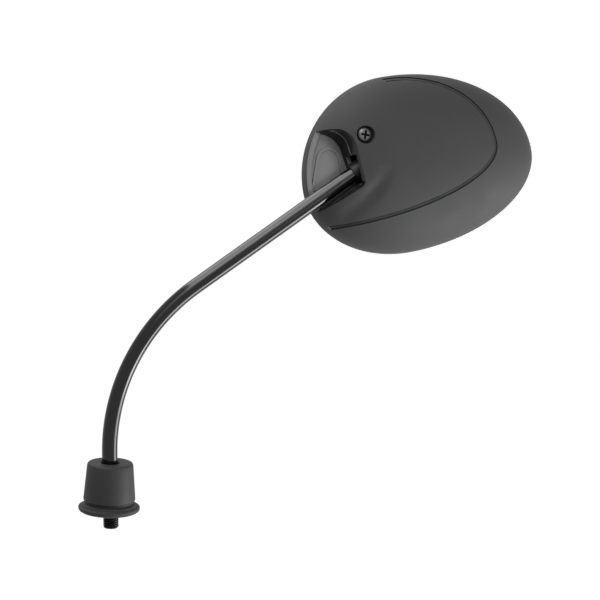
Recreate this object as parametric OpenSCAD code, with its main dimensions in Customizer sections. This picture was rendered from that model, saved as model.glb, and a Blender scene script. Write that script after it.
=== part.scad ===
// Rear-view mirror for a scooter or motorcycle: a bent steel rod with a
// threaded stud at its foot, a rubber boot over the lock nut, and an
// egg-shaped head on a ball joint.
// Frame: the origin is on the stud's axis at the underside of the boot,
// +Z runs up the stud, the rod bends towards +X, the back of the head
// faces -Y and the glass faces +Y.

/* [Rod] */
// Diameter of the rod and of its thread
rod_d = 10; // [9:0.5:11]
// Straight height of the rod's axis above the underside of the boot
foot_h = 38; // [36:1:60]
// Radius of the bend, on the rod's axis
bend_r = 125; // [100:5:150]
// Angle that the bend turns the rod through
bend_a = 57; // [50:1:62]
// Straight length from the end of the bend to the centre of the ball
arm_l = 144; // [120:1:170]
// Length of thread that stands out below the boot
thread_out = 10.8; // [8:0.1:20]
// Depth of the thread below the rod's surface
thread_depth = 0.4; // [0.2:0.05:0.6]

/* [Lock nut] */
// Width of the nut across its flats
nut_af = 14; // [13:0.5:16]
// Height of the nut
nut_h = 8; // [5:0.5:9]
// Height of the nut's underside above the underside of the boot
nut_lift = 1.2; // [0.8:0.1:3]

/* [Boot] */
// Diameter of the flange at the foot
boot_flange_d = 39.4; // [37:0.2:44]
// Height of the flange's straight edge
boot_flange_h = 2.6; // [2:0.1:4]
// Diameter of the cone at its lower edge
boot_base_d = 33.2; // [31:0.2:36]
// Diameter of the cone at its top
boot_top_d = 29.2; // [26:0.2:31]
// Overall height of the boot
boot_h = 32; // [28:0.5:34]
// Wall of the boot round the nut
boot_wall = 4; // [3:0.25:5]
// Height of the lip that grips the rod
boot_grip_h = 5; // [3:0.5:7]

/* [Ball joint] */
// Diameter of the ball
ball_d = 16; // [15:0.25:16.5]
// Diameter of the neck between the rod and the ball
neck_d = 8.5; // [7:0.25:9]
// Wall of the plastic seats round the ball
seat_wall = 3; // [2.6:0.1:3.1]
// Half height of the two seats, measured from the ball's centre
seat_h = 9.6; // [9:0.1:10]
// Slot between the front and the rear seat
seat_gap = 0.6; // [0.4:0.1:1]
// Thickness of the pressed clamp plates
plate_t = 1.6; // [1.2:0.1:1.8]
// Gap between the flat faces of the clamp plates
plate_gap = 2; // [1.6:0.1:2.6]
// Radius at which the clamp screws stand round the ball
clamp_r = 20.5; // [20:0.25:23]
// Angle between the two clamp screws
clamp_spread = 64; // [56:1:70]
// Thread diameter of the clamp and bracket screws
screw_d = 4; // [3.5:0.1:4.2]
// Thickness of the rubber shutter behind the rod's slot
shutter_t = 1; // [0.8:0.1:1.2]
// Half angle that the shutter covers, seen from the ball
shutter_a = 42; // [38:1:46]
// Running clearance of the ball and of the seats
ball_play = 0.1; // [0.05:0.01:0.15]

/* [Head outline] */
// Length of the outline from its widest point to the blunt end
head_blunt = 64.9; // [62:0.1:68]
// Length of the outline from its widest point to the narrow end
head_long = 93.2; // [85:0.2:100]
// Height of the outline above its widest point
head_up = 64.5; // [62:0.1:67]
// Depth of the outline below its widest point
head_down = 51; // [48:0.1:54]
// Widest point along the head, from the ball
head_x = 17.8; // [16:0.1:19]
// Widest point across the head, from the ball
head_y = -14.9; // [-16:0.1:-13]
// Angle that the head's long axis rises at
head_roll = 8; // [4:1:12]
// Angle that the head's back is tipped up by
head_pitch = 9; // [5:1:12]

/* [Head depth] */
// Overall depth of the housing
head_depth = 40; // [39:0.5:44]
// Fullness of the housing's profile: 2 is an ellipse, more is squarer
dome_e = 2.3; // [2.1:0.05:2.6]
// Distance from the plane of the rim to the ball's centre
rim_drop = 22.5; // [22:0.25:24]
// Wall of the two housing shells
wall = 2.4; // [2:0.1:2.8]
// Height of the frame's side above the rim, where the back cover starts
frame_h = 10.5; // [9.5:0.25:11]
// Height of the web that closes the frame, above the rim
web_lift = 6.5; // [6:0.1:7]
// Thickness of that web
web_t = 1.6; // [1.4:0.1:2]

/* [Back cover] */
// Width of the open groove between the back cover and the frame
groove_w = 2.4; // [1.4:0.1:3]
// Depth of that groove, down to the frame's ledge
groove_depth = 1.3; // [1:0.1:1.8]
// Reach of the cover's tip along the head, from the ball
cover_tip = 79.4; // [74:0.5:84]
// Height of the cover's tip across the head, from the ball
cover_mid = -5.2; // [-7:0.2:-3]
// Rise of the cover's upper edge above its tip
cover_up = 55; // [52:0.5:60]
// Drop of the cover's lower edge below its tip
cover_down = 36.5; // [32:0.5:40]
// Length of the cover's short upper curve
cover_curl = 64.8; // [60:0.2:70]
// Length of the cover's long lower curve
cover_sweep = 118; // [105:1:130]
// Overlap of the frame's ledge under the cover's edge
ledge_w = 4; // [3:0.25:5]

/* [Pocket] */
// Distance from the ball to the pocket's end wall
pocket_x = 16.6; // [16.4:0.1:17.5]
// Corner radius at the top of the end wall
pocket_r = 12.5; // [11:0.5:14]
// Height of that corner's centre across the head
pocket_y = 10; // [8:0.5:11]
// Corner radius below the rod
pocket_foot_r = 3; // [2.5:0.25:4]
// Clearance between the rod and the pocket's lower wall
pocket_gap = 2.2; // [2:0.1:3]
// Angle that the pocket's upper wall opens at
pocket_open = 17; // [12:1:20]
// Wall of the pocket's sides
pocket_wall = 1.6; // [1.4:0.1:1.8]
// Height at which the cover's wall meets the frame's wall
pocket_split = -1.5; // [-2.5:0.25:0]
// Height of the raised panel on the pocket's floor
relief_h = 0.8; // [0.5:0.1:1.2]
// Distance from the pocket's end wall to that panel
relief_in = 2.6; // [2:0.1:4]
// Corner radius of that panel
relief_r = 3.6; // [2.5:0.1:5]

/* [Cover screw] */
// Position of the screw along the head, from the ball
csc_x = -10; // [-10.5:0.25:-9]
// Position of the screw across the head, from the ball
csc_y = 15.2; // [15:0.1:16.5]
// Diameter of the screw's head
csc_head_d = 9.6; // [8.5:0.1:10]
// Height of the screw's head
csc_head_h = 3.2; // [2.5:0.1:3.5]
// Thread diameter of the screw
csc_d = 5; // [4:0.25:5]
// Diameter of the well that the head sits in
well_d = 11.6; // [11:0.1:12]
// Height of the well's floor above the ball's centre
well_floor = 9.8; // [9.4:0.1:10.4]

/* [Glass] */
// Radius of the convex glass
glass_r = 1400; // [1000:50:2000]
// Thickness of the glass
glass_t = 2; // [1.8:0.1:2.2]
// Thickness of the foam pad behind the glass
foam_t = 0.6; // [0.5:0.1:0.8]
// Thickness of the carrier plate
carrier_t = 1.3; // [1.2:0.1:1.6]
// Gap between the glass's edge and the rim
glass_gap = 0.8; // [0.5:0.1:1.2]
// Height of the glass's crown above the plane of the rim
glass_crown = 0.2; // [0:0.1:0.5]

/* [Hidden] */
$fn = 64;
eps = 0.01;
thread_core_d = rod_d - 2 * thread_depth;
thread_clear = 0.3;
bend_end = [bend_r * (1 - cos(bend_a)), 0, foot_h + bend_r * sin(bend_a)];
ball_c = bend_end + arm_l * [sin(bend_a), 0, cos(bend_a)];
// the rod's direction in the head's own frame, as a bearing and a rise
rod_u = sin(bend_a) * cos(head_roll) + cos(bend_a) * sin(head_roll) * cos(head_pitch);
rod_v = -sin(bend_a) * sin(head_roll) + cos(bend_a) * cos(head_roll) * cos(head_pitch);
rod_n = cos(bend_a) * sin(head_pitch);
rod_az = atan2(rod_v, rod_u);
rod_el = asin(rod_n);
seat_ri = ball_d / 2 + ball_play;
seat_ro = ball_d / 2 + seat_wall;
plate_ri = seat_ro + ball_play;
plate_ro = plate_ri + plate_t;
shutter_ri = plate_ro + 0.5;
shutter_ro = shutter_ri + shutter_t;
plate_cut = 2.5;
// heights in the head's own frame are taken from the ball's centre
rim_w = -rim_drop;
part_w = rim_w + frame_h;
web_under = rim_w + web_lift;
web_top = web_under + web_t;
ledge_gap = 0.3;
split_gap = 0.2;
sill_w = 1.2;
well_wall = 1.2;
well_base = 1.6;
ledge_t = 1.4;
outline_n = 60;
dome_steps = 9;
dome_top_a = 86;
crest_x = 8.6;
crest_y = -5.6;
far = 90;
glass_mid_x = head_x + (head_long - head_blunt) / 2;
glass_mid_y = head_y + (head_up - head_down) / 2;
glass_w = rim_w - glass_crown + glass_r;
glass_inset = wall + glass_gap;
carrier_peg_d = 4;
spring_d = 9;
spring_h = 0.9;
pan_d = 2 * screw_d;
pan_h = 0.6 * screw_d;
clamp_nut_h = 0.8 * screw_d;
clamp_nut_af = 1.75 * screw_d;
lug_r = 5.2;
bracket_at = [[9, 21], [9, -21], [29, 0]];
carrier_peg_at = [[52, -8], [40, 22], [-8, -42], [30, -38]];

// the rod's frame at the ball: +Z runs on along the rod's upper arm
module on_rod() {
    translate(ball_c) rotate([0, bend_a, 0]) children();
}

// the head's frame at the ball: +X along the head, +Y across it, +Z out
// of its back
module on_head() {
    translate(ball_c) rotate([90 - head_pitch, 0, 0]) rotate([0, 0, head_roll]) children();
}

// the head's frame turned so that +X follows the rod's bearing
module on_clamp() {
    on_head() rotate([0, 0, rod_az]) children();
}

// threaded stretch: full size where it stands out, cut back to its core
// where the nut sits on it
module thread() {
    chamfer = thread_depth * 2;
    top = nut_lift - thread_clear;
    translate([0, 0, -thread_out]) cylinder(d1 = rod_d - 2 * chamfer, d2 = rod_d, h = chamfer);
    translate([0, 0, chamfer - thread_out]) cylinder(d = rod_d, h = thread_out - chamfer + top);
    translate([0, 0, top - eps]) cylinder(d = thread_core_d, h = nut_h + 2 * thread_clear + 2 * eps);
}

module stem() {
    seat_z = nut_lift + nut_h + thread_clear;
    color("black") {
        thread();
        translate([0, 0, seat_z]) cylinder(d = rod_d, h = foot_h - seat_z);
        translate([bend_r, 0, foot_h]) rotate([90, 0, 0]) rotate([0, 0, 180])
            rotate_extrude(angle = -bend_a) translate([bend_r, 0]) circle(d = rod_d);
        // core across the seam where the bend meets the arm
        translate(bend_end) rotate([0, bend_a, 0]) translate([0, 0, -1]) cylinder(d = rod_d - 0.1, h = 3);
        on_rod() {
            neck_top = seat_ro + 1;
            translate([0, 0, eps - arm_l]) cylinder(d = rod_d, h = arm_l - eps - neck_top - (rod_d - neck_d) / 2);
            translate([0, 0, -neck_top - (rod_d - neck_d) / 2])
                cylinder(d1 = rod_d, d2 = neck_d, h = (rod_d - neck_d) / 2);
            translate([0, 0, -neck_top]) cylinder(d = neck_d, h = neck_top);
            sphere(d = ball_d);
        }
    }
}

// hexagon with both faces chamfered, bored to suit its screw
module hex_nut(af, h, bore) {
    difference() {
        intersection() {
            cylinder(d = af / cos(30), h = h, $fn = 6);
            rotate_extrude() polygon([
                [0, 0], [af / 2 * 0.95, 0], [af / 2 / cos(30), af * 0.06],
                [af / 2 / cos(30), h - af * 0.06], [af / 2 * 0.95, h], [0, h]
            ]);
        }
        translate([0, 0, -1]) cylinder(d = bore, h = h + 2);
    }
}

module lock_nut() {
    color("dimgray") translate([0, 0, nut_lift])
        hex_nut(nut_af, nut_h, thread_core_d + 0.05);
}

// moulded rubber: stepped outside, hollow round the nut, with a lip that
// grips the rod and a loose mouth above it
module boot() {
    hollow_r = boot_base_d / 2 - boot_wall;
    grip_top = boot_h - 5;
    cone_z = boot_flange_h + 6.4;
    color("dimgray") difference() {
        rotate_extrude() polygon([
            [0, 0],
            [boot_flange_d / 2 - 2, 0],
            [boot_flange_d / 2 - 0.5, 0.6],
            [boot_flange_d / 2, 1.6],
            [boot_flange_d / 2, 1.6 + boot_flange_h],
            [boot_flange_d / 2 - 0.8, 2.3 + boot_flange_h],
            [boot_base_d / 2, 3.4 + boot_flange_h],
            [boot_base_d / 2 - 1.2, 4 + boot_flange_h],
            [boot_base_d / 2 - 1.2, 5.2 + boot_flange_h],
            [boot_base_d / 2 - 0.2, 5.8 + boot_flange_h],
            [boot_base_d / 2, cone_z],
            [boot_top_d / 2, boot_h - 1.4],
            [boot_top_d / 2 - 0.5, boot_h - 0.4],
            [boot_top_d / 2 - 1.4, boot_h],
            [0, boot_h]
        ]);
        translate([0, 0, -1]) cylinder(r = hollow_r, h = nut_lift + nut_h + 3);
        translate([0, 0, nut_lift + nut_h + 1.9])
            cylinder(r1 = hollow_r, r2 = rod_d / 2 + 2, h = grip_top - boot_grip_h - nut_lift - nut_h - 1.8);
        cylinder(d = rod_d + 0.08, h = boot_h + 1);
        translate([0, 0, grip_top]) cylinder(d1 = rod_d + 0.08, d2 = rod_d + 1.6, h = 2);
        translate([0, 0, grip_top + 2 - eps]) cylinder(d = rod_d + 1.6, h = boot_h);
    }
}

// rubber shutter: a dome round the ball that closes the slot in the
// housing, with a collar that rides on the rod
module rod_shutter() {
    hole_r = rod_d / 2 + 0.05;
    a0 = asin(hole_r / shutter_ro);
    steps = 12;
    color("dimgray") on_rod() rotate_extrude() union() {
        polygon([
            for (i = [0:steps]) let(a = a0 + (shutter_a - a0) * i / steps)
                [shutter_ro * sin(a), -shutter_ro * cos(a)],
            for (i = [steps:-1:0]) let(a = a0 + (shutter_a - a0) * i / steps)
                [max(hole_r, shutter_ri * sin(a)), -shutter_ri * cos(a)]
        ]);
        translate([hole_r, -pocket_x - 3.4]) square([1.5, pocket_x + 3.4 - shutter_ri + 0.4]);
    }
}

// slot that the neck swings in, cut through a seat or a plate
module neck_slot(w, up, down, reach) {
    rotate([0, 0, rod_az]) translate([-reach, -w / 2, -down]) cube([reach, w, up + down]);
}

// one plastic cup: half of a ball-shaped shell with a flat back
module seat(side) {
    difference() {
        intersection() {
            sphere(r = seat_ro);
            translate([0, 0, side * (seat_h / 2 + seat_gap / 4)])
                cube([3 * seat_ro, 3 * seat_ro, seat_h - seat_gap / 2], center = true);
        }
        sphere(r = seat_ri);
        neck_slot(neck_d + 0.8, 7.4, 6.4, 2 * seat_ro);
    }
}

module seat_front() {
    color("whitesmoke") on_head() seat(-1);
}

module seat_rear() {
    color("whitesmoke") on_head() seat(1);
}

// angle of a clamp screw from the rod's bearing
function clamp_at(side) = clamp_r * [cos(clamp_spread / 2), side * sin(clamp_spread / 2)];

// flat outline of a clamp plate: the ring round the ball and its ears
module plate_outline(lugs) {
    circle(r = plate_ro + 0.4);
    for (side = [-1, 1])
        hull() {
            translate(clamp_at(side)) circle(r = lug_r);
            circle(r = lug_r + 3);
        }
    if (lugs)
        for (p = bracket_at)
            hull() {
                translate(p) circle(r = lug_r - 0.8);
                translate([12, 0]) circle(r = lug_r);
            }
}

// pressed steel plate: a flat flange with a dished cup for the seat
module clamp_plate(side, lugs) {
    flange_z = side > 0 ? plate_gap / 2 : -plate_gap / 2 - plate_t;
    cup_z = side > 0 ? plate_gap / 2 : -seat_h - 1;
    difference() {
        union() {
            translate([0, 0, flange_z]) linear_extrude(plate_t) plate_outline(lugs);
            intersection() {
                sphere(r = plate_ro);
                translate([-far / 2, -far / 2, cup_z]) cube([far, far, seat_h + 1 - plate_gap / 2]);
            }
        }
        sphere(r = plate_ri);
        translate([-far - plate_cut, -far / 2, -seat_h + 0.8]) cube([far, far, 2 * seat_h - 1.6]);
        for (s = [-1, 1])
            translate(clamp_at(s)) translate([0, 0, -far / 2]) cylinder(d = screw_d + 0.4, h = far);
        if (lugs)
            for (p = bracket_at)
                translate(p) translate([0, 0, -far / 2]) cylinder(d = screw_d + 0.4, h = far);
    }
}

module clamp_plate_front() {
    color("silver") on_clamp() clamp_plate(-1, true);
}

module clamp_plate_rear() {
    color("silver") on_clamp() clamp_plate(1, false);
}

// pan-head screw with a cross recess, its head above z = 0
module pan_screw(d, length, head_d, head_h) {
    difference() {
        rotate_extrude() polygon([
            [0, -length], [d / 2 - 0.5, -length], [d / 2, -length + 0.5], [d / 2, 0],
            [head_d / 2, 0], [head_d / 2, head_h * 0.45],
            for (a = [15:15:75]) [head_d / 2 * (0.55 + 0.45 * cos(a)), head_h * (0.45 + 0.55 * sin(a))],
            [head_d / 2 * 0.5, head_h], [0, head_h]
        ]);
        for (a = [0, 90])
            rotate([0, 0, a]) translate([-head_d * 0.27, -head_d * 0.06, head_h * 0.45])
                cube([head_d * 0.54, head_d * 0.12, head_h]);
    }
}

clamp_head_z = plate_gap / 2 + plate_t + spring_h;
module clamp_screw(side) {
    color("silver") on_clamp() translate(clamp_at(side)) translate([0, 0, clamp_head_z])
        pan_screw(screw_d, clamp_head_z + plate_gap / 2 + plate_t + clamp_nut_h + 1, pan_d, pan_h);
}

module clamp_screw_upper() {
    clamp_screw(1);
}

module clamp_screw_lower() {
    clamp_screw(-1);
}

// dished washer between a clamp screw's head and the rear plate
module disc_spring(side) {
    t = spring_h * 0.55;
    color("silver") on_clamp() translate(clamp_at(side)) translate([0, 0, plate_gap / 2 + plate_t])
        rotate_extrude() polygon([
            [screw_d / 2 + 0.15, spring_h - t], [spring_d / 2, 0], [spring_d / 2, t],
            [screw_d / 2 + 0.15, spring_h]
        ]);
}

module disc_spring_upper() {
    disc_spring(1);
}

module disc_spring_lower() {
    disc_spring(-1);
}

module clamp_nut(side) {
    color("silver") on_clamp() translate(clamp_at(side))
        translate([0, 0, -plate_gap / 2 - plate_t - clamp_nut_h])
            hex_nut(clamp_nut_af, clamp_nut_h, screw_d + 0.02);
}

module clamp_nut_upper() {
    clamp_nut(1);
}

module clamp_nut_lower() {
    clamp_nut(-1);
}

boss_top = -plate_gap / 2 - plate_t;
module bracket_screw(i) {
    color("silver") on_clamp() translate(bracket_at[i]) translate([0, 0, -plate_gap / 2])
        pan_screw(screw_d, plate_t + 8, pan_d * 0.95, pan_h * 0.9);
}

module bracket_screw_upper() {
    bracket_screw(0);
}

module bracket_screw_lower() {
    bracket_screw(1);
}

module bracket_screw_end() {
    bracket_screw(2);
}

// egg outline: four quarter ellipses that share their centre
function egg(inset) = [
    for (i = [0:outline_n - 1])
        let(t = 360 * i / outline_n, a = cos(t) < 0 ? head_blunt : head_long, b = sin(t) < 0 ? head_down : head_up)
            [(a - inset) * cos(t), (b - inset) * sin(t)]
];

// one ring of the domed housing, at the angle a of its profile
function dome_ring(a, inset) =
    let(
        t = pow(sin(a), 2 / dome_e), s = pow(cos(a), 2 / dome_e),
        x = head_x + (crest_x - head_x) * t * t,
        y = head_y + (crest_y - head_y) * t * t
    )
    [for (p = egg(inset)) [p.x * s + x, p.y * s + y, rim_w + (head_depth - inset) * t]];

// the housing's form, lofted ring by ring from the rim to the crown
module dome(inset = 0) {
    for (i = [0:dome_steps - 1])
        hull() polyhedron(
            concat(
                dome_ring(dome_top_a * i / dome_steps, inset),
                dome_ring(dome_top_a * (i + 1) / dome_steps, inset)
            ),
            [[for (k = [0:outline_n - 1]) k], [for (k = [0:outline_n - 1]) outline_n + k]]
        );
}

// plan of the back cover: a quick curve above its tip, a long one below
module cover_plan(grow) {
    curl_x = cover_tip - cover_curl;
    foot_x = cover_tip - cover_sweep;
    steps = 24;
    offset(delta = grow) polygon([
        [-far, far], [curl_x, far], [curl_x, cover_mid + cover_up],
        for (i = [1:steps]) let(t = 90 - 90 * i / steps)
            [curl_x + cover_curl * cos(t), cover_mid + cover_up * sin(t)],
        for (i = [1:steps]) let(t = -90 * i / steps)
            [foot_x + cover_sweep * cos(t), cover_mid + cover_down * sin(t)],
        [-far, cover_mid - cover_down]
    ]);
}

// space that the back cover takes, grown sideways and downwards
module cover_zone(grow) {
    translate([0, 0, part_w - grow]) linear_extrude(far) cover_plan(grow);
}

// plan of the pocket that the rod lies in, open towards the blunt end
module pocket_plan(grow) {
    top = [-pocket_x - pocket_r - 1, pocket_y];
    foot_side = rod_d / 2 + pocket_gap + pocket_foot_r;
    // centre of the lower corner, level with the end wall and clear of the rod
    foot_x = -pocket_x - pocket_foot_r;
    foot = [foot_x, (foot_x * sin(rod_az) - foot_side + 2 * pocket_foot_r) / cos(rod_az)];
    reach = far;
    offset(r = grow) hull() {
        translate(top) circle(r = pocket_r);
        translate(foot) circle(r = pocket_foot_r);
        translate(top + reach * [-cos(pocket_open), sin(pocket_open)]) circle(r = pocket_r);
        translate(foot + reach * [-cos(rod_az), -sin(rod_az)]) circle(r = pocket_foot_r);
    }
}

// slot in the pocket's end wall that the rod and its collar move in
module rod_slot() {
    rotate([0, 0, rod_az]) translate([-pocket_x - 8, -7.2, -9.6]) cube([13, 17.6, 18.6]);
}

// block that the pocket is sunk into, between two heights
module pocket_block(z0, z1) {
    intersection() {
        dome();
        translate([0, 0, z0]) linear_extrude(z1 - z0) pocket_plan(pocket_wall);
    }
}

module back_cover() {
    color("dimgray") on_head() difference() {
        union() {
            difference() {
                intersection() {
                    dome();
                    cover_zone(-groove_w / 2);
                }
                dome(wall);
            }
            pocket_block(pocket_split, far);
            intersection() {
                dome();
                translate([csc_x, csc_y, well_floor - well_base]) cylinder(d = well_d + 2 * well_wall, h = far, $fn = 48);
            }
        }
        translate([0, 0, part_w - 1]) linear_extrude(far) pocket_plan(0);
        translate([csc_x, csc_y, well_floor]) cylinder(d = well_d, h = far, $fn = 48);
        translate([csc_x, csc_y, 0]) cylinder(d = csc_d + 0.6, h = far, $fn = 48);
        rod_slot();
    }
}

// walled tub in the frame that the pocket is sunk into, up to the cover's wall
module pocket_tub() {
    translate([0, 0, web_under]) linear_extrude(pocket_split - split_gap - web_under) pocket_plan(pocket_wall);
}

// step that the cover's edge lies over, with the open groove beside it
module cover_step() {
    difference() {
        cover_zone(groove_w / 2);
        dome(groove_depth);
    }
    difference() {
        cover_zone(ledge_gap - groove_w / 2);
        dome(wall + ledge_gap);
    }
    difference() {
        cover_zone(-ledge_w);
        pocket_tub();
    }
}

// bosses for the cover's screw and the ball's bracket
module frame_bosses() {
    translate([csc_x, csc_y, web_under]) cylinder(r = csc_d / 2 + 1.6, h = well_floor - well_base - web_under, $fn = 24);
    rotate([0, 0, rod_az]) for (p = bracket_at)
        translate([p.x, p.y, web_under]) cylinder(r = screw_d / 2 + 1.8, h = boss_top - web_under, $fn = 24);
}

// space between the web and the back cover
module frame_hollow() {
    difference() {
        intersection() {
            dome(wall + ledge_gap + ledge_t);
            translate([-far, -far, web_top]) cube([3 * far, 2 * far, far]);
        }
        pocket_tub();
    }
}

// panel raised on the pocket's floor, with a round top corner beside the end
// wall and sides that run out under the rod
module pocket_relief() {
    corner_x = -pocket_x - relief_in - relief_r;
    translate([0, 0, web_under + web_t / 2]) linear_extrude(web_t / 2 + relief_h) hull() {
        translate([corner_x - relief_r, pocket_y]) circle(r = relief_r);
        translate([corner_x, -pocket_y]) circle(r = relief_r);
        translate([corner_x - pocket_r - 2 * relief_r, -2 * pocket_y]) circle(r = relief_r);
    }
}

// room of the pocket: down to the web inside the frame's side, and over
// that side where the rod passes out
module pocket_room() {
    difference() {
        translate([0, 0, web_top]) linear_extrude(far) pocket_plan(0);
        translate([head_x, head_y, rim_w - 1]) difference() {
            linear_extrude(frame_h + 1) square(3 * far, center = true);
            translate([0, 0, -1]) linear_extrude(frame_h + 3) polygon(egg(wall + sill_w));
        }
    }
}

// what is cut away for the pocket, which leaves its floor's raised panel
module pocket_hollow() {
    difference() {
        pocket_room();
        pocket_relief();
    }
}

module rim_frame() {
    color("black") on_head() difference() {
        union() {
            difference() {
                dome();
                cover_step();
                frame_hollow();
            }
            frame_bosses();
        }
        translate([head_x, head_y, rim_w - 1]) linear_extrude(web_lift + 1) polygon(egg(wall));
        pocket_hollow();
        translate([csc_x, csc_y, web_top + 2]) cylinder(d = csc_d - 0.2, h = far, $fn = 24);
        rotate([0, 0, rod_az]) for (p = bracket_at)
            translate([p.x, p.y, web_top + 2]) cylinder(d = screw_d - 0.2, h = far, $fn = 24);
        for (p = carrier_peg_at)
            translate([p.x, p.y, web_under - 1]) cylinder(d = carrier_peg_d + 0.1, h = web_t + 2, $fn = 24);
        rod_slot();
    }
}

module cover_screw() {
    color("black") on_head() translate([csc_x, csc_y, well_floor]) rotate([0, 0, -19])
        pan_screw(csc_d, 20, csc_head_d, csc_head_h);
}

// part of a curved sheet, cut to the head's outline
module curved_sheet(r_out, r_in, inset) {
    intersection() {
        translate([head_x, head_y, rim_w - 3]) linear_extrude(9) polygon(egg(inset));
        translate([glass_mid_x, glass_mid_y, glass_w]) difference() {
            sphere(r = r_out, $fn = 240);
            sphere(r = r_in, $fn = 240);
        }
    }
}

module mirror_glass() {
    color("lightsteelblue") on_head() curved_sheet(glass_r, glass_r - glass_t, glass_inset);
}

module foam_pad() {
    color("darkslategray") on_head()
        curved_sheet(glass_r - glass_t, glass_r - glass_t - foam_t, glass_inset + 2);
}

// curved plate with a rib round its back that stands on the frame's web,
// and pegs that snap through it
module glass_carrier() {
    plate_r = glass_r - glass_t - foam_t;
    color("black") on_head() {
        curved_sheet(plate_r, plate_r - carrier_t, glass_inset + 0.4);
        intersection() {
            difference() {
                translate([head_x, head_y, rim_w]) linear_extrude(web_lift) polygon(egg(glass_inset + 8));
                translate([head_x, head_y, rim_w - 1]) linear_extrude(far) polygon(egg(glass_inset + 9.6));
            }
            translate([glass_mid_x, glass_mid_y, glass_w]) sphere(r = plate_r - carrier_t / 2, $fn = 240);
        }
        for (p = carrier_peg_at)
            translate(p) {
                intersection() {
                    translate([0, 0, rim_w]) cylinder(d = carrier_peg_d + 3, h = web_lift);
                    translate([glass_mid_x - p.x, glass_mid_y - p.y, glass_w])
                        sphere(r = plate_r - carrier_t / 2, $fn = 240);
                }
                translate([0, 0, web_under - eps]) cylinder(d = carrier_peg_d, h = web_t + 0.2);
                translate([0, 0, web_top + 0.1]) cylinder(d1 = carrier_peg_d + 0.8, d2 = carrier_peg_d - 0.6, h = 1.4);
            }
    }
}

stem();
lock_nut();
boot();
rod_shutter();
seat_front();
seat_rear();
clamp_plate_front();
clamp_plate_rear();
clamp_screw_upper();
clamp_screw_lower();
disc_spring_upper();
disc_spring_lower();
clamp_nut_upper();
clamp_nut_lower();
bracket_screw_upper();
bracket_screw_lower();
bracket_screw_end();
rim_frame();
back_cover();
cover_screw();
glass_carrier();
foam_pad();
mirror_glass();
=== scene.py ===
import math

import bpy
from mathutils import Matrix, Vector


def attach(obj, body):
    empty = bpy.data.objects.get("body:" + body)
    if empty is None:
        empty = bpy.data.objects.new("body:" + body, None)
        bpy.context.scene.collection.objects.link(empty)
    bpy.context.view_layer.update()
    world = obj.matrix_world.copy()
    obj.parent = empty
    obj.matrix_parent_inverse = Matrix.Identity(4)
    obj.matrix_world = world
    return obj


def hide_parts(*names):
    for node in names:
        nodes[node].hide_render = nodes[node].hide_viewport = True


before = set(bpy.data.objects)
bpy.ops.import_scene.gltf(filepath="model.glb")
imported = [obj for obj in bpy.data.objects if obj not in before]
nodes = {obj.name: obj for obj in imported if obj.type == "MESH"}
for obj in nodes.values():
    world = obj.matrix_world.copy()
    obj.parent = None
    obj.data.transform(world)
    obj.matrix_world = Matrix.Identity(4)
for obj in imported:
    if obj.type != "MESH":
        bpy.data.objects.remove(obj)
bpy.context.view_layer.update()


# Bent rod: 10 mm steel bar with one bend, an M10 thread rolled on its foot and
# a ball forged at its upper end. Gloss black paint covers it from the thread
# up. It screws into the lever bracket and carries everything else.
MM = 0.001
ROD_R = 5.0 * MM
FOOT_H = 38.0 * MM
BEND_R = 125.0 * MM
BEND_A = math.radians(57)
ARM_L = 144.0 * MM
NECK_R = 4.25 * MM
NECK_L = 12.0 * MM
BALL_R = 8.0 * MM
ARM = Vector((math.sin(BEND_A), 0, math.cos(BEND_A)))
BEND_END = Vector((BEND_R * (1 - math.cos(BEND_A)), 0, FOOT_H + BEND_R * math.sin(BEND_A)))
BALL = BEND_END + ARM * ARM_L
THREAD_OUT = 10.8 * MM
THREAD_PITCH = 1.25 * MM
THREAD_CORE = 4.3 * MM
THREAD_SHOULDER = ROD_R - 0.12 * MM
THREAD_TOP_GAP = 1.0 * MM
NUT_LIFT = 1.2 * MM
NUT_H = 8.0 * MM
SEAT_Z = NUT_LIFT + NUT_H + 0.3 * MM


def object_mode():
    """Leaves edit mode and deselects everything."""
    if bpy.context.object and bpy.context.object.mode != "OBJECT":
        bpy.ops.object.mode_set(mode="OBJECT")
    bpy.ops.object.select_all(action="DESELECT")


def edit(obj, select=True):
    """Opens a piece in edit mode with all or none of it selected."""
    object_mode()
    bpy.context.view_layer.objects.active = obj
    obj.select_set(True)
    bpy.ops.object.mode_set(mode="EDIT")
    bpy.ops.mesh.select_mode(type="VERT")
    bpy.ops.mesh.select_all(action="SELECT" if select else "DESELECT")


def pick(obj, test):
    """Opens a piece in edit mode with the corners selected whose place passes a test."""
    edit(obj, False)
    object_mode()
    for v in obj.data.vertices:
        v.select = test(v.co)
    bpy.context.view_layer.objects.active = obj
    obj.select_set(True)
    bpy.ops.object.mode_set(mode="EDIT")


def place(obj, matrix=None):
    """Moves a piece to its place and puts the place into its mesh."""
    object_mode()
    if matrix is not None:
        obj.matrix_world = matrix @ obj.matrix_world
    bpy.context.view_layer.objects.active = obj
    obj.select_set(True)
    bpy.ops.object.transform_apply(location=True, rotation=True, scale=True)
    return obj


def draw(name, points, close=False):
    """One corner, extruded from point to point into a profile."""
    object_mode()
    bpy.ops.mesh.primitive_plane_add(size=MM, location=points[0])
    obj = bpy.context.object
    obj.name = name
    edit(obj)
    bpy.ops.mesh.merge(type="CENTER")
    for a, b in zip(points, points[1:]):
        bpy.ops.mesh.extrude_vertices_move(TRANSFORM_OT_translate={"value": Vector(b) - Vector(a)})
    if close:
        bpy.ops.mesh.select_all(action="SELECT")
        bpy.ops.mesh.edge_face_add()
    return place(obj)


def use(obj, kind, **settings):
    """Adds a modifier with these settings and applies it."""
    object_mode()
    bpy.context.view_layer.objects.active = obj
    obj.select_set(True)
    modifier = obj.modifiers.new(kind.lower(), kind)
    for key, value in settings.items():
        setattr(modifier, key, value)
    bpy.ops.object.modifier_apply(modifier=modifier.name)
    return obj


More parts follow.
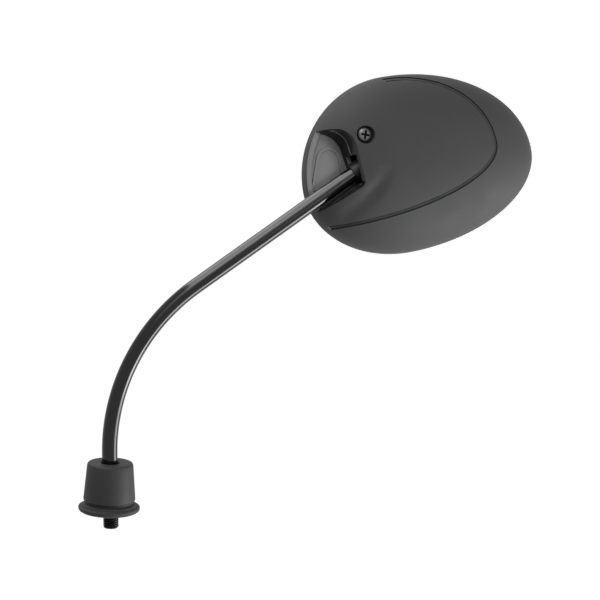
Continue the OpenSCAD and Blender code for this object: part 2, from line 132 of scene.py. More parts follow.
def combine(obj, other, operation):
    """Boolean of one piece with another, which is used up."""
    use(obj, "BOOLEAN", object=other, operation=operation, solver="EXACT")
    bpy.data.objects.remove(other, do_unlink=True)
    return obj


def tidy(obj, angle=32):
    """Merges doubles, turns faces outwards and smooths below an angle."""
    edit(obj)
    bpy.ops.mesh.remove_doubles(threshold=0.002 * MM)
    bpy.ops.mesh.normals_make_consistent(inside=False)
    object_mode()
    bpy.context.view_layer.objects.active = obj
    obj.select_set(True)
    bpy.ops.object.shade_smooth_by_angle(angle=math.radians(angle))
    return obj


def turn_round(obj, steps):
    """Spins an open profile a full turn about Z."""
    edit(obj)
    bpy.ops.mesh.spin(steps=steps, angle=2 * math.pi, center=(0, 0, 0), axis=(0, 0, 1))


def ring_up(values):
    """Extrudes the selected ring by each (move, scale, centre of the scaling)."""
    for move, scale, centre in values:
        bpy.ops.mesh.extrude_region_move(TRANSFORM_OT_translate={"value": move})
        if scale != 1:
            bpy.ops.transform.resize(value=(scale, scale, scale), center_override=centre)


object_mode()
bpy.ops.mesh.primitive_circle_add(vertices=64, radius=ROD_R, location=(0, 0, SEAT_Z))
rod = bpy.context.object
rod.name = "bent_rod"
place(rod)
edit(rod)
ring_up([((0, 0, FOOT_H - SEAT_Z), 1, (0, 0, 0))])
bpy.ops.mesh.spin(steps=64, angle=-BEND_A, center=(BEND_R, 0, FOOT_H), axis=(0, 1, 0))
straight = ARM_L - NECK_L - (ROD_R - NECK_R)
neck_end = BEND_END + ARM * straight
ring_up([
    (ARM * straight, 1, (0, 0, 0)),
    (ARM * (ROD_R - NECK_R), NECK_R / ROD_R, neck_end + ARM * (ROD_R - NECK_R)),
    (ARM * (NECK_L - 4 * MM), 1, (0, 0, 0)),
])
bpy.ops.mesh.edge_face_add()
pick(rod, lambda co: abs(co.z - SEAT_Z) < 0.001 * MM)
ring_up([
    ((0, 0, -0.35 * MM), THREAD_CORE / ROD_R, (0, 0, SEAT_Z - 0.35 * MM)),
    ((0, 0, -1.2 * MM), 1, (0, 0, 0)),
])
bpy.ops.mesh.edge_face_add()
tidy(rod, 40)
object_mode()
bpy.ops.mesh.primitive_uv_sphere_add(segments=64, ring_count=32, radius=BALL_R, location=BALL)
ball = bpy.context.object
place(ball)
combine(rod, ball, "UNION")
tidy(rod, 40)

# the thread: one pitch of its flank, swept up a helix and cut to the blank's form
object_mode()
turns = math.ceil((THREAD_OUT + SEAT_Z) / THREAD_PITCH) + 3
low = -THREAD_OUT - 1.5 * THREAD_PITCH
thread = draw("stud_thread", [
    (THREAD_CORE, 0, low),
    (THREAD_SHOULDER, 0, low + 0.42 * THREAD_PITCH),
    (ROD_R, 0, low + 0.46 * THREAD_PITCH),
    (ROD_R, 0, low + 0.54 * THREAD_PITCH),
    (THREAD_SHOULDER, 0, low + 0.58 * THREAD_PITCH),
    (THREAD_CORE, 0, low + THREAD_PITCH),
])
use(
    thread, "SCREW", axis="Z", angle=2 * math.pi, screw_offset=THREAD_PITCH, iterations=turns,
    steps=48, render_steps=48, use_merge_vertices=True, merge_threshold=0.001 * MM,
)
edit(thread)
bpy.ops.mesh.remove_doubles(threshold=0.003 * MM)
bpy.ops.mesh.fill_holes(sides=0)
bpy.ops.mesh.normals_make_consistent(inside=False)
# the stud's blank, with the lead-in chamfer at its end
blank = draw("stud_blank", [
    (0, 0, -THREAD_OUT),
    (ROD_R - 0.8 * MM, 0, -THREAD_OUT),
    (ROD_R + 2 * MM, 0, -THREAD_OUT + 2.8 * MM),
    (ROD_R + 2 * MM, 0, SEAT_Z - THREAD_TOP_GAP),
    (0, 0, SEAT_Z - THREAD_TOP_GAP),
])
turn_round(blank, 48)
tidy(blank)
combine(thread, blank, "INTERSECT")
tidy(thread, 25)
object_mode()
thread.select_set(True)
rod.select_set(True)
bpy.context.view_layer.objects.active = rod
bpy.ops.object.join()


def shared_grain():
    """Fine moulded grain: a height, and a soft cloud that breaks up colour and gloss."""
    group = bpy.data.node_groups.new("moulded_grain", "ShaderNodeTree")
    for name, default in (("Grain Size", 0.5), ("Cloud Size", 12.0)):
        socket = group.interface.new_socket(name, in_out="INPUT", socket_type="NodeSocketFloat")
        socket.default_value = default
    for name in ("Height", "Cloud"):
        group.interface.new_socket(name, in_out="OUTPUT", socket_type="NodeSocketFloat")
    make, link = group.nodes.new, group.links.new
    inputs, outputs = make("NodeGroupInput"), make("NodeGroupOutput")
    coordinates = make("ShaderNodeTexCoord")
    for output, size, detail, socket in (("Height", "Grain Size", 3, 0), ("Cloud", "Cloud Size", 4, 1)):
        per_metre = make("ShaderNodeMath")
        per_metre.operation = "DIVIDE"
        per_metre.inputs[0].default_value = 1000
        link(inputs.outputs[size], per_metre.inputs[1])
        noise = make("ShaderNodeTexNoise")
        noise.inputs["Detail"].default_value = detail
        noise.inputs["Roughness"].default_value = 0.6
        link(coordinates.outputs["Object"], noise.inputs["Vector"])
        link(per_metre.outputs[0], noise.inputs["Scale"])
        link(noise.outputs["Fac"], outputs.inputs[socket])
        if output == "Height":
            pits = make("ShaderNodeTexVoronoi")
            pits.feature = "SMOOTH_F1"
            link(coordinates.outputs["Object"], pits.inputs["Vector"])
            link(per_metre.outputs[0], pits.inputs["Scale"])
            both = make("ShaderNodeMath")
            both.operation = "ADD"
            link(noise.outputs["Fac"], both.inputs[0])
            link(pits.outputs["Distance"], both.inputs[1])
            link(both.outputs[0], outputs.inputs[socket])
    return group


grain_group = shared_grain()


def finish(name, color, vary, roughness, swing, grain, height, cloud=12, metallic=0, **sockets):
    """A procedural material whose colour and gloss drift slightly, over a fine grain.

    vary is the share that the colour drifts by and swing how far the roughness
    does. The sizes of grain and cloud, and the grain's height, are in millimetres.
    """
    material = bpy.data.materials.new(name)
    material.use_nodes = True
    tree = material.node_tree
    make, link = tree.nodes.new, tree.links.new
    shader = tree.nodes["Principled BSDF"]
    shader.inputs["Metallic"].default_value = metallic
    for key, value in sockets.items():
        shader.inputs[key.replace("_", " ")].default_value = value
    group = make("ShaderNodeGroup")
    group.node_tree = grain_group
    group.inputs["Grain Size"].default_value = grain
    group.inputs["Cloud Size"].default_value = cloud
    ramp = make("ShaderNodeValToRGB")
    ramp.color_ramp.elements[0].position = 0.3
    ramp.color_ramp.elements[1].position = 0.7
    ramp.color_ramp.elements[0].color = [c * (1 - vary) for c in color] + [1]
    ramp.color_ramp.elements[1].color = [c * (1 + vary) for c in color] + [1]
    link(group.outputs["Cloud"], ramp.inputs["Fac"])
    link(ramp.outputs["Color"], shader.inputs["Base Color"])
    gloss = make("ShaderNodeMapRange")
    gloss.inputs["From Min"].default_value = 0.3
    gloss.inputs["From Max"].default_value = 0.7
    gloss.inputs["To Min"].default_value = roughness - swing
    gloss.inputs["To Max"].default_value = roughness + swing
    link(group.outputs["Cloud"], gloss.inputs["Value"])
    link(gloss.outputs["Result"], shader.inputs["Roughness"])
    bump = make("ShaderNodeBump")
    bump.inputs["Distance"].default_value = height * MM
    link(group.outputs["Height"], bump.inputs["Height"])
    link(bump.outputs["Normal"], shader.inputs["Normal"])
    return material


def wear(obj, material):
    """Gives a piece one material all over."""
    obj.data.materials.clear()
    obj.data.materials.append(material)
    return obj


rod_paint = finish(
    "rod_paint", (0.003, 0.003, 0.0032), 0.2, 0.12, 0.02, 2.5, 0.004, cloud=20, Specular_IOR_Level=0.3)
thread_paint = finish(
    "thread_paint", (0.008, 0.008, 0.0085), 0.3, 0.35, 0.08, 0.4, 0.01, cloud=3, Specular_IOR_Level=0.3)
wear(rod, rod_paint)
rod.data.materials.append(thread_paint)
for face in rod.data.polygons:
    if face.center.z < SEAT_Z - 0.2 * MM:
        face.material_index = 1
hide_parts("stem")
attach(rod, "stem")


# Lock nut: hexagon of black zinc-plated steel, run down the thread inside the
# boot, where it locks the rod to the lever bracket.
nut_zinc = finish(
    "black_zinc", (0.05, 0.05, 0.052), 0.3, 0.35, 0.08, 0.6, 0.01, cloud=4, metallic=0.9)
wear(nodes["lock_nut"], nut_zinc)


# Boot: moulded rubber cap, a cone on a stepped flange, pushed down the rod
# over the lock nut. Its mouth is loose round the rod and a lip inside grips.
BOOT = [
    # the flange, from its underside round its lip
    (16.8, 0.0), (18.2, 0.45), (19.2, 1.1), (19.6, 2.0), (19.6, 3.2), (19.2, 3.7), (18.3, 3.9), (17.6, 3.7),
    # the step above it, the groove and the cone's lower lip
    (17.2, 3.9), (17.1, 4.9), (16.7, 5.3), (15.6, 5.5), (14.9, 5.9),
    (14.9, 6.9), (15.5, 7.3), (16.25, 7.5), (16.5, 7.95), (16.55, 8.6),
    # up the cone, over its shoulder and into the mouth
    (14.7, 30.4), (14.4, 31.3), (13.8, 31.85), (13.0, 32.0),
    (6.5, 32.0), (5.95, 31.8), (5.8, 31.2), (5.8, 29.0),
    # down the inner lip and the room for the lock nut
    (5.2, 27.2), (5.2, 21.9), (7.0, 21.9), (12.6, 11.1), (12.6, 0.6), (13.2, 0.0),
]
BOOT_GRIP = Vector((0, 0, 24.5 * MM))
BOOT_LEAN = math.radians(2.5)


def round_edges(obj, angle, width, smooth=34):
    """Bevels the edges that are sharper than an angle and smooths over them."""
    limit = math.radians(angle)
    use(obj, "BEVEL", limit_method="ANGLE", angle_limit=limit, width=width * MM, segments=2)
    tidy(obj, smooth)


boot = draw("rubber_boot", [(r * MM, 0, z * MM) for r, z in BOOT + BOOT[:1]])
edit(boot)
bpy.ops.mesh.remove_doubles(threshold=0.001 * MM)
turn_round(boot, 96)
tidy(boot, 60)
round_edges(boot, 24, 0.22, smooth=40)
# it grips the rod a little askew
lean = Matrix.Translation(BOOT_GRIP) @ Matrix.Rotation(BOOT_LEAN, 4, "Y") @ Matrix.Translation(-BOOT_GRIP)
place(boot, lean)
boot_rubber = finish(
    "boot_rubber", (0.0155, 0.0155, 0.016), 0.15, 0.66, 0.06, 0.5, 0.03, cloud=7, Specular_IOR_Level=0.3)
wear(boot, boot_rubber)
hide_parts("boot")
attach(boot, "boot")


# Ball joint: two acetal cups held on the ball by pressed steel plates, which
# two sprung screws clamp together and three more hold to the frame's bosses. A
# rubber collar on the rod covers the slot where it enters the head.
ZINC_PIECES = [
    "clamp_plate_front", "clamp_plate_rear", "clamp_screw_upper", "clamp_screw_lower", "clamp_nut_upper",
    "clamp_nut_lower", "bracket_screw_upper", "bracket_screw_lower", "bracket_screw_end",
]
acetal = finish("acetal", (0.8, 0.8, 0.76), 0.03, 0.4, 0.04, 1.5, 0.004)
bright_zinc = finish("bright_zinc", (0.58, 0.58, 0.57), 0.1, 0.32, 0.07, 0.5, 0.004, cloud=5, metallic=1)
spring_steel = finish("spring_steel", (0.2, 0.2, 0.21), 0.2, 0.3, 0.06, 0.6, 0.004, cloud=4, metallic=1)
# The collar's black rubber is painted darker than the boot's, as painted shade of the slot it sits in.
seal_rubber = finish(
    "seal_rubber", (0.006, 0.006, 0.006), 0.12, 0.45, 0.05, 0.4, 0.015, cloud=6, Specular_IOR_Level=0.2)
for name in ("seat_front", "seat_rear"):
    wear(nodes[name], acetal)
for name in ZINC_PIECES:
    wear(nodes[name], bright_zinc)
for name in ("disc_spring_upper", "disc_spring_lower"):
    wear(nodes[name], spring_steel)
wear(nodes["rod_shutter"], seal_rubber)


# Rim frame: the front half of the housing, injection moulded in black plastic.
# It holds the glass, makes the edge and the nose of the head, and its walled
# tub is the floor of the pocket that the rod lies in.
PITCH = math.radians(9)
ROLL = math.radians(8)
HEAD = Matrix.Translation(BALL) @ Matrix.Rotation(math.pi / 2 - PITCH, 4, "X")
HEAD = HEAD @ Matrix.Rotation(ROLL, 4, "Z")
# the outline's centre and its half lengths, and the dome's depth and crest, in
# millimetres from the ball: x to the tip, y up, and heights out of the back
EGG_X, EGG_Y = 17.8, -14.9
BLUNT, LONG = 64.9, 93.2
UP, DOWN = 64.5, 51.0
DEPTH, FULLNESS = 40.0, 2.3
CREST_X, CREST_Y = 8.6, -5.6
# heights: the glass rim, the underside and top of the pocket's floor, the
# parting plane of the shells and the split in the pocket's walls
RIM_W = -22.5
WEB_UNDER, WEB_TOP = -16.0, -14.4
PART_W = -12.0
SPLIT_W = -1.5
WALL = 2.4
# the open groove along the cover's edge, its drain line and the ledge in it
GROOVE, GROOVE_DEPTH = 2.4, 0.7
DRAIN, DRAIN_DEPTH = 0.5, 0.9
SEAM = 0.15
SEAT_PLAY = 0.5
LEDGE, LEDGE_GAP, LEDGE_T = 4.0, 0.3, 1.4
# the rod's direction in the head's own plane, and the pocket round it
ROD_AZ = math.atan2(
    -math.sin(BEND_A) * math.sin(ROLL) + math.cos(BEND_A) * math.cos(ROLL) * math.cos(PITCH),
    math.sin(BEND_A) * math.cos(ROLL) + math.cos(BEND_A) * math.sin(ROLL) * math.cos(PITCH),
)
POCKET_WALL, POCKET_OPEN = 1.6, 17.0
MOUTH_W, MOUTH_CORNER, MOUTH_CORNER_R = 6.0, (-30.1, 10.0), 12.5
FLOOR_CORNER, FLOOR_CORNER_R = (-36.0, 4.5), 16.5
FOOT_X, FOOT_R = -19.6, 3.0
ROD_ROOM = 4.2
# the slot's corners along and across the rod, and its heights
SLOT = [(-24.6, -7.2), (-11.6, -7.2), (-11.6, 10.4), (-24.6, 10.4)]
SLOT_LOW, SLOT_HIGH = -9.6, 9.0
# the raised panel on the pocket's floor: three discs that its outline wraps
PANEL = [(-29.2, 3.2, 8.0), (-24.0, -11.0, 3.6), (-42.0, -19.0, 3.6)]
PANEL_BORDER, PANEL_BORDER_H, PANEL_FIELD_H = 1.7, 1.2, 0.4
# the soft valley beside the pocket's lower edge
VALLEY = [(-29.5, -33), (-24.5, -30.5), (-20, -27), (-15.5, -24), (-11, -21), (-7, -17.5), (-4, -13)]
VALLEY_STEP, VALLEY_REACH = 1.2, 8.0
FAR = 90.0


def egg(inset, count=180):
    """The head's outline: four quarter ellipses that share their centre."""
    turn = [2 * math.pi * i / count for i in range(count)]
    return [(EGG_X + ((BLUNT if math.cos(t) < 0 else LONG) - inset) * math.cos(t),
             EGG_Y + ((DOWN if math.sin(t) < 0 else UP) - inset) * math.sin(t)) for t in turn]


def dome(name, inset=0, low=0):
    """The housing's full form: the outline drawn in ring by ring up to its crown."""
    outline = [(x * MM, y * MM, (RIM_W - low) * MM) for x, y in egg(inset)]
    obj = draw(name, outline, close=True)
    edit(obj)
    if low:
        bpy.ops.mesh.extrude_region_move(TRANSFORM_OT_translate={"value": (0, 0, low * MM)})
    scale, rise = 1.0, 0.0
    for degrees in (2, 5, 8.5, *range(12, 85, 4), 87, 89):
        a = math.radians(degrees)
        s, t = math.cos(a) ** (2 / FULLNESS), math.sin(a) ** (2 / FULLNESS)
        drift = t * t - rise * rise
        lift = (DEPTH - inset) * (t - rise)
        move = Vector(((CREST_X - EGG_X) * drift, (CREST_Y - EGG_Y) * drift, lift)) * MM
        bpy.ops.mesh.extrude_region_move(TRANSFORM_OT_translate={"value": move})
        centre = (EGG_X + (CREST_X - EGG_X) * t * t, EGG_Y + (CREST_Y - EGG_Y) * t * t, 0)
        bpy.ops.transform.resize(value=(s / scale, s / scale, 1), center_override=Vector(centre) * MM)
        scale, rise = s, t
    edit(obj)
    bpy.ops.mesh.normals_make_consistent(inside=False)
    press_valley(obj)
    object_mode()
    return obj


def dome_height(x, y):
    """Height of the dome's surface over a place, without the valley."""
    side_x = LONG if x > EGG_X else BLUNT
    side_y = UP if y > EGG_Y else DOWN
    reach = min(1, math.hypot((x - EGG_X) / side_x, (y - EGG_Y) / side_y))
    return RIM_W + DEPTH * (1 - reach ** FULLNESS) ** (1 / FULLNESS)


def press_valley(obj):
    """Presses the soft valley beside the pocket's lower edge into the dome."""
    for x, y in VALLEY:
        object_mode()
        upper = [v.co.copy() for v in obj.data.vertices if v.co.z > 0]
        near = min(upper, key=lambda co: math.hypot(co.x - x * MM, co.y - y * MM))
        pick(obj, lambda co: (co - near).length < 0.01 * MM)
        bpy.ops.transform.translate(
            value=(0, 0, -VALLEY_STEP * MM), use_proportional_edit=True,
            proportional_edit_falloff="SMOOTH", proportional_size=VALLEY_REACH * MM,
        )


def prism(name, outline, low, high):
    """A flat outline raised from one height to another."""
    obj = draw(name, [(x * MM, y * MM, low * MM) for x, y in outline], close=True)
    edit(obj)
    bpy.ops.mesh.extrude_region_move(TRANSFORM_OT_translate={"value": (0, 0, (high - low) * MM)})
    edit(obj)
    bpy.ops.mesh.normals_make_consistent(inside=False)
    object_mode()
    return obj


def cover_plan(grow):
    """Plan of the back cover: a quick curve above its tip, a long one below."""
    tip, mid = 77.2, -5.2
    up, down = 52.2, 34.8
    sweep, curl = 115.8, 62.6
    foot, top = tip - sweep, tip - curl
    curve = []
    for i in range(49):
        t = math.radians(90 - 90 * i / 48)
        c, s = math.cos(t), math.sin(t)
        curve.append((top + curl * c, mid + up * s, c / curl, s / up))
    for i in range(1, 61):
        t = math.radians(-90 * i / 60)
        c, s = math.cos(t), math.sin(t)
        curve.append((foot + sweep * c, mid + down * s, c / sweep, s / down))
    plan = []
    for x, y, nx, ny in curve:
        plan.append((x + grow * nx / math.hypot(nx, ny), y + grow * ny / math.hypot(nx, ny)))
    return [(-FAR, FAR), (top + grow, FAR)] + plan + [(-FAR, mid - down - grow)]


def arc(centre, r, start, end, count):
    """Points along an arc from one angle to another."""
    turn = [start + (end - start) * i / count for i in range(count + 1)]
    return [(centre[0] + r * math.cos(t), centre[1] + r * math.sin(t)) for t in turn]


def pocket_plan(grow, top=MOUTH_CORNER, top_r=MOUTH_CORNER_R):
    """Plan of the rod's pocket: two corner arcs and sides that run out past the blunt end."""
    foot = (FOOT_X, (FOOT_X * math.sin(ROD_AZ) - ROD_ROOM) / math.cos(ROD_AZ))
    reach = Vector((top[0] - foot[0], top[1] - foot[1]))
    wall = math.atan2(reach.y, reach.x) - math.acos((FOOT_R - top_r) / reach.length)
    slope = math.radians(POCKET_OPEN)
    corner = arc(foot, FOOT_R + grow, ROD_AZ - math.pi / 2, wall, 12)
    corner += arc(top, top_r + grow, wall, math.radians(90 - POCKET_OPEN), 28)
    start, end = corner[0], corner[-1]
    low_side = (start[0] - FAR * math.cos(ROD_AZ), start[1] - FAR * math.sin(ROD_AZ))
    top_side = (end[0] - FAR * math.cos(slope), end[1] + FAR * math.sin(slope))
    return [low_side] + corner + [top_side]


def hull(name, points):
    """A solid stretched round some points."""
    obj = draw(name, [(x * MM, y * MM, z * MM) for x, y, z in points])
    edit(obj)
    bpy.ops.mesh.convex_hull()
    edit(obj)
    bpy.ops.mesh.delete_loose(use_verts=True, use_edges=True, use_faces=False)
    bpy.ops.mesh.remove_doubles(threshold=0.01 * MM)
    bpy.ops.mesh.dissolve_limited(angle_limit=math.radians(0.2))
    bpy.ops.mesh.normals_make_consistent(inside=False)
    object_mode()
    return obj


def pocket_room(name, grow):
    """The pocket's open space: its walls lean out from the round floor to the mouth."""
    floor_edge = [(x, y, WEB_TOP) for x, y in pocket_plan(grow, FLOOR_CORNER, FLOOR_CORNER_R)]
    mouth = [(x, y, z) for z in (MOUTH_W, FAR) for x, y in pocket_plan(grow)]
    return hull(name, floor_edge + mouth)


def rod_slot():
    """Slot in the pocket's end wall that the rod and its collar move in."""
    c, s = math.cos(ROD_AZ), math.sin(ROD_AZ)
    return prism("slot", [(x * c - y * s, x * s + y * c) for x, y in SLOT], SLOT_LOW, SLOT_HIGH)


def tub():
    """The frame's block round the pocket, from under its floor up to the split."""
    return prism("tub", pocket_plan(POCKET_WALL), WEB_UNDER, SPLIT_W - 0.2)


def cover_zone(name, grow, low):
    """Space that the back cover takes, grown sideways, from its parting plane up."""
    return prism(name, cover_plan(grow), PART_W + low, FAR)


def round_panel(name, discs, grow, low, high):
    """A flat plate whose outline is stretched round some discs."""
    edge = [point for x, y, r in discs for point in arc((x, y), r + grow, 0, 2 * math.pi, 36)]
    return hull(name, [(x, y, z) for z in (low, high) for x, y in edge])


def within(plan, x, y):
    """Whether a place lies inside a closed plan."""
    inside = False
    for (ax, ay), (bx, by) in zip(plan, plan[1:] + plan[:1]):
        if (ay > y) != (by > y) and x < ax + (y - ay) / (by - ay) * (bx - ax):
            inside = not inside
    return inside


def paint_pocket_light_and_shade(obj, low):
    """Gives the pocket's walls and its floor, found by their place, smoother finishes, with painted shade
    on the walls and painted reflected light on the floor and the sill.
    """
    obj.data.materials.append(pocket_wall)
    obj.data.materials.append(painted_light_pocket_floor)
    plan, inside_rim = pocket_plan(0.5), egg(WALL + 1.5)
    for face in obj.data.polygons:
        x, y, z = face.center / MM
        if z > low and within(plan, x, y) and z < dome_height(x, y) - 0.6:
            # upward faces and the sill take the floor's painted reflected light, the walls take the painted
            # shade
            face.material_index = 2 if face.normal.z > 0.6 or not within(inside_rim, x, y) else 1


rim = dome("rim_frame_shell")
step = cover_zone("step", GROOVE / 2, -SEAM)
combine(step, dome("groove_floor", GROOVE_DEPTH), "DIFFERENCE")
combine(rim, step, "DIFFERENCE")
# a drain line along the groove's outer side
drain = cover_zone("drain", GROOVE / 2, 2)
combine(drain, cover_zone("drain_inside", GROOVE / 2 - DRAIN, 0), "DIFFERENCE")
combine(drain, dome("drain_floor", GROOVE_DEPTH + DRAIN_DEPTH), "DIFFERENCE")
combine(rim, drain, "DIFFERENCE")
# the seat that the cover's edge drops into, down to the ledge
seat = cover_zone("seat", SEAT_PLAY - GROOVE / 2, 0)
combine(seat, dome("ledge_top", WALL + LEDGE_GAP), "DIFFERENCE")
combine(rim, seat, "DIFFERENCE")
# the inside, and the recess in front of it that takes the glass
hollow = dome("hollow", WALL + LEDGE_GAP + LEDGE_T)
far_square = [(-2 * FAR, -2 * FAR), (2 * FAR, -2 * FAR), (2 * FAR, 2 * FAR), (-2 * FAR, 2 * FAR)]
combine(hollow, prism("below", far_square, -FAR, WEB_TOP), "DIFFERENCE")
combine(hollow, cover_zone("inner", -LEDGE, LEDGE), "UNION")
combine(hollow, tub(), "DIFFERENCE")
combine(rim, hollow, "DIFFERENCE")
combine(rim, prism("recess", egg(WALL), RIM_W - 1, WEB_UNDER), "DIFFERENCE")
# the pocket, which leaves a low sill along the outline
pocket = pocket_room("pocket", 0)
sill = prism("sill", far_square, RIM_W - 1, PART_W)
combine(sill, prism("sill_hole", egg(WALL + 1.2), RIM_W - 2, PART_W + 2), "DIFFERENCE")
combine(pocket, sill, "DIFFERENCE")
# the floor's raised panel, with a low border round it
panel = round_panel("panel", PANEL, 0, WEB_TOP - 0.5, WEB_TOP + PANEL_BORDER_H)
field = round_panel("panel_field", PANEL, -PANEL_BORDER, WEB_TOP + PANEL_FIELD_H, WEB_TOP + 2)
combine(panel, field, "DIFFERENCE")
combine(pocket, panel, "DIFFERENCE")
combine(rim, pocket, "DIFFERENCE")
combine(rim, rod_slot(), "DIFFERENCE")
tidy(rim, 34)
use(rim, "WEIGHTED_NORMAL", keep_sharp=True)
housing_plastic = finish(
    "housing_plastic", (0.036, 0.036, 0.037), 0.08, 0.7, 0.05, 0.6, 0.035, cloud=16,
    Specular_IOR_Level=0.25)
# The pocket floor: the shell's black plastic, glossier, and painted light grey as painted reflected light.
painted_light_pocket_floor = finish(
    "painted_light_pocket_floor", (0.17, 0.17, 0.172), 0.12, 0.34, 0.05, 1.5, 0.006, cloud=9, Specular_IOR_Level=0.5)
# The pocket walls: painted near-black as painted shade of the pocket's depth.
pocket_wall = finish(
    "pocket_wall", (0.008, 0.008, 0.008), 0.1, 0.3, 0.05, 1.5, 0.006, cloud=9, Specular_IOR_Level=0.2)
wear(rim, housing_plastic)
paint_pocket_light_and_shade(rim, WEB_TOP - 0.1)
place(rim, HEAD)
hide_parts("rim_frame")
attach(rim, "head")


# Back cover: the domed lid of the housing, moulded in the same black plastic.
# It drops over the frame's ledge with an open groove round it, wraps the
# pocket and the screw's well, and one screw holds it down.
SCREW_X, SCREW_Y = -10.0, 15.2
WELL_R, WELL_FLOOR = 5.8, 9.8
WELL_WALL, WELL_BASE = 1.2, 1.6
SCREW_HOLE_R = 2.8
POCKET_SPLIT = 0.45


def disc(x, y, r, count=64):
    """Points of a circle."""
    turn = [2 * math.pi * i / count for i in range(count)]
    return [(x + r * math.cos(t), y + r * math.sin(t)) for t in turn]


cover = dome("back_cover_shell")
combine(cover, cover_zone("zone", -GROOVE / 2, SEAM), "INTERSECT")
cover_hollow = dome("cover_hollow", WALL, low=2)
combine(cover_hollow, prism("pocket_block", pocket_plan(POCKET_WALL), SPLIT_W, FAR), "DIFFERENCE")
well_outside = disc(SCREW_X, SCREW_Y, WELL_R + WELL_WALL)
combine(cover_hollow, prism("well_block", well_outside, WELL_FLOOR - WELL_BASE, FAR), "DIFFERENCE")
combine(cover, cover_hollow, "DIFFERENCE")
combine(cover, pocket_room("pocket", POCKET_SPLIT), "DIFFERENCE")
combine(cover, prism("well", disc(SCREW_X, SCREW_Y, WELL_R), WELL_FLOOR, FAR), "DIFFERENCE")
combine(cover, prism("hole", disc(SCREW_X, SCREW_Y, SCREW_HOLE_R), 0, FAR), "DIFFERENCE")
combine(cover, rod_slot(), "DIFFERENCE")
tidy(cover, 34)
use(cover, "WEIGHTED_NORMAL", keep_sharp=True)
wear(cover, housing_plastic)
paint_pocket_light_and_shade(cover, PART_W)
place(cover, HEAD)
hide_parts("back_cover")
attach(cover, "head")


# Cover screw: black pan-head screw with a cross recess, turned down into the
# frame's boss at the bottom of the well.
PAN_R, PAN_H = 4.8, 3.2
PAN_EDGE = 1.3
SHANK_R, SHANK_L = 2.5, 6
BLADE_MID = 2.75 * MM
screw_profile = [
    (0, -SHANK_L), (SHANK_R, -SHANK_L), (SHANK_R, 0), (PAN_R - 0.3, 0), (PAN_R, 0.3), (PAN_R, PAN_EDGE),
]
for degrees in range(12, 91, 13):
    a = math.radians(degrees)
    pan_point = (PAN_R * (0.52 + 0.48 * math.cos(a)), PAN_EDGE + (PAN_H - PAN_EDGE) * math.sin(a))
    screw_profile.append(pan_point)
screw_profile.append((0, PAN_H + 0.05))
screw = draw("cover_screw_head", [(r * MM, 0, z * MM) for r, z in screw_profile])
turn_round(screw, 64)
tidy(screw)
for turn in (0, 90):
    object_mode()
    bpy.ops.mesh.primitive_cube_add(size=1, location=(0, 0, BLADE_MID))
    blade = bpy.context.object
    blade.scale = (7.0 * MM, 1.75 * MM, 3.2 * MM)
    place(blade, Matrix.Rotation(math.radians(turn), 4, "Z"))
    # the blade narrows towards its tip, as the driver's does
    pick(blade, lambda co: co.z < BLADE_MID)
    bpy.ops.transform.resize(value=(0.5, 0.5, 1), center_override=(0, 0, 0))
    combine(screw, blade, "DIFFERENCE")
tidy(screw, 34)
round_edges(screw, 40, 0.12)
# The cross recess is painted near-black as painted shade inside it.
painted_shade_recess = finish(
    "painted_shade_recess", (0.004, 0.004, 0.004), 0.3, 0.6, 0.08, 0.35, 0.02, Specular_IOR_Level=0.1)
screw_black = finish(
    "screw_black", (0.09, 0.09, 0.09), 0.35, 0.38, 0.08, 0.35, 0.02, cloud=1.2, metallic=0.85)
wear(screw, screw_black)
screw.data.materials.append(painted_shade_recess)
# the faces inside the cross recess take the painted shade
for face in screw.data.polygons:
    if 1.0 * MM < face.center.z < 2.9 * MM and face.center.xy.length < 3.6 * MM:
        face.material_index = 1
screw_seat = Matrix.Translation((SCREW_X * MM, SCREW_Y * MM, WELL_FLOOR * MM))
place(screw, HEAD @ screw_seat @ Matrix.Rotation(math.radians(-19), 4, "Z"))
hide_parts("cover_screw")
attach(screw, "head")


# Mirror: convex silvered glass with a ground edge, stuck by a foam pad to a
# plastic carrier that clips into the frame's web.
GLASS_R, GLASS_T, CROWN = 1400.0, 2.0, 0.2
GLASS_REACH = 88
GLASS_INSET = WALL + 0.8
MID_X, MID_Y = EGG_X + (LONG - BLUNT) / 2, EGG_Y + (UP - DOWN) / 2


def cap(radius, reach, count=24):
    """Points of a shallow arc about the glass's centre of curvature, from its middle outwards."""
    top = RIM_W - CROWN + GLASS_R
    out = [reach * i / count for i in range(count + 1)]
    return [(r, top - math.sqrt(radius ** 2 - r ** 2)) for r in out]


lens = cap(GLASS_R, GLASS_REACH) + cap(GLASS_R - GLASS_T, GLASS_REACH)[::-1]
sheet = draw("convex_glass", [(r * MM, 0, z * MM) for r, z in lens + lens[:1]])
turn_round(sheet, 120)
tidy(sheet, 30)
place(sheet, Matrix.Translation((MID_X * MM, MID_Y * MM, 0)))
combine(sheet, prism("glass_outline", egg(GLASS_INSET), RIM_W - 3, RIM_W + 8), "INTERSECT")
tidy(sheet, 30)
round_edges(sheet, 50, 0.3)
place(sheet, HEAD)
silvering = finish("silvering", (0.86, 0.88, 0.89), 0.01, 0.025, 0.005, 40, 0.0, cloud=60, metallic=1)
wear(sheet, silvering)
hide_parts("mirror_glass")
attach(sheet, "head")
foam = finish("foam", (0.12, 0.12, 0.12), 0.15, 0.85, 0.05, 0.4, 0.05)
carrier_plastic = finish("carrier_plastic", (0.045, 0.045, 0.046), 0.1, 0.45, 0.05, 0.6, 0.01)
wear(nodes["foam_pad"], foam)
wear(nodes["glass_carrier"], carrier_plastic)


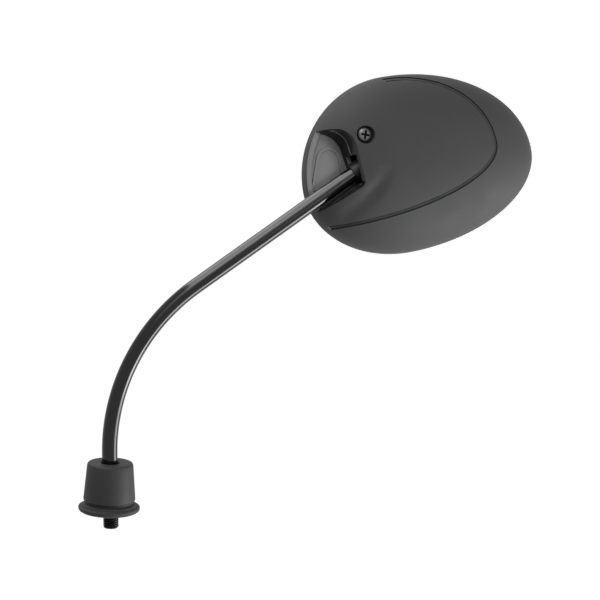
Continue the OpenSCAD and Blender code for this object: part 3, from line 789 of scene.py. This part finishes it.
# Photographer's studio: a plain white floor well below the mirror that runs on
# as the backdrop, a long soft strip overhead, and soft panels above, in front
# and low at the right.
FLOOR_Z = -0.75
FLOOR_GLOW = 0.85
AMBIENT = 0.22
object_mode()
bpy.ops.mesh.primitive_plane_add(size=80, location=(0, 0, FLOOR_Z))
floor = bpy.context.object
floor.name = "floor"
place(floor)
floor_white = bpy.data.materials.new("floor_white")
floor_white.use_nodes = True
make, link = floor_white.node_tree.nodes.new, floor_white.node_tree.links.new
shader = floor_white.node_tree.nodes["Principled BSDF"]
shader.inputs["Roughness"].default_value = 0.9
shader.inputs["Specular IOR Level"].default_value = 0.1
speck = make("ShaderNodeTexNoise")
speck.inputs["Scale"].default_value = 40
tone = make("ShaderNodeMapRange")
tone.inputs["To Min"].default_value = 0.53
tone.inputs["To Max"].default_value = 0.57
link(speck.outputs["Fac"], tone.inputs["Value"])
link(tone.outputs["Result"], shader.inputs["Base Color"])
shader.inputs["Emission Color"].default_value = (1, 1, 1, 1)


def seen_rays(make, link, low, high, socket):
    """Sets a strength: high where the camera, a gloss or a glass looks, low elsewhere."""
    rays = make("ShaderNodeLightPath")
    last = rays.outputs["Is Camera Ray"]
    for name in ("Is Glossy Ray", "Is Transmission Ray"):
        either = make("ShaderNodeMath")
        either.operation = "MAXIMUM"
        link(last, either.inputs[0])
        link(rays.outputs[name], either.inputs[1])
        last = either.outputs[0]
    level = make("ShaderNodeMapRange")
    level.inputs["To Min"].default_value = low
    level.inputs["To Max"].default_value = high
    link(last, level.inputs["Value"])
    link(level.outputs["Result"], socket)


seen_rays(make, link, 0, FLOOR_GLOW, shader.inputs["Emission Strength"])
wear(floor, floor_white)

world = bpy.data.worlds.new("studio")
bpy.context.scene.world = world
world.use_nodes = True
make, link = world.node_tree.nodes.new, world.node_tree.links.new
background = world.node_tree.nodes["Background"]
background.inputs["Color"].default_value = (1, 1, 1, 1)
seen_rays(make, link, AMBIENT, 1.0, background.inputs["Strength"])


def lamp(name, place_at, aim, size, power):
    """A soft rectangular panel that faces its aim, with its size across and along, and its watts."""
    data = bpy.data.lights.new(name, "AREA")
    data.shape = "RECTANGLE"
    data.size, data.size_y = size
    data.energy = power
    obj = bpy.data.objects.new(name, data)
    bpy.context.scene.collection.objects.link(obj)
    obj.location = place_at
    obj.rotation_euler = (Vector(aim) - Vector(place_at)).to_track_quat("-Z", "Y").to_euler()


lamp("overhead_strip", (-0.38, 0, 1.3), (0.14, 0, 0.2), (2.4, 0.4), 19)
lamp("upper_panel", (-0.18, -1.15, 1.26), (0.14, 0, 0.2), (1.5, 1.0), 9)
lamp("front_fill", (0.56, -1.63, 0.39), (0.1, 0, 0.2), (0.5, 0.5), 2.4)
lamp("right_panel", (0.85, -0.28, -0.22), (0.0, -0.05, 0.05), (0.52, 0.5), 7.5)
lamp("low_right_panel", (0.64, -0.33, -0.43), (0.13, 0, 0.17), (0.36, 0.32), 4.4)


# Camera: where the photograph was taken from, a little to the left of the
# head and above it, with a long lens.
TARGET = Vector((0.1256, 0, 0.1303))
AZ, EL, AWAY = math.radians(-16), math.radians(11), 1.5
camera_data = bpy.data.cameras.new("camera")
camera_data.lens = 140.3
camera_data.sensor_width = 36
camera = bpy.data.objects.new("camera", camera_data)
bpy.context.scene.collection.objects.link(camera)
back = Vector((math.sin(AZ) * math.cos(EL), -math.cos(AZ) * math.cos(EL), math.sin(EL)))
camera.location = TARGET + back * AWAY
camera.rotation_euler = (-back).to_track_quat("-Z", "Y").to_euler()
bpy.context.scene.camera = camera
bpy.context.scene.view_settings.view_transform = "Standard"
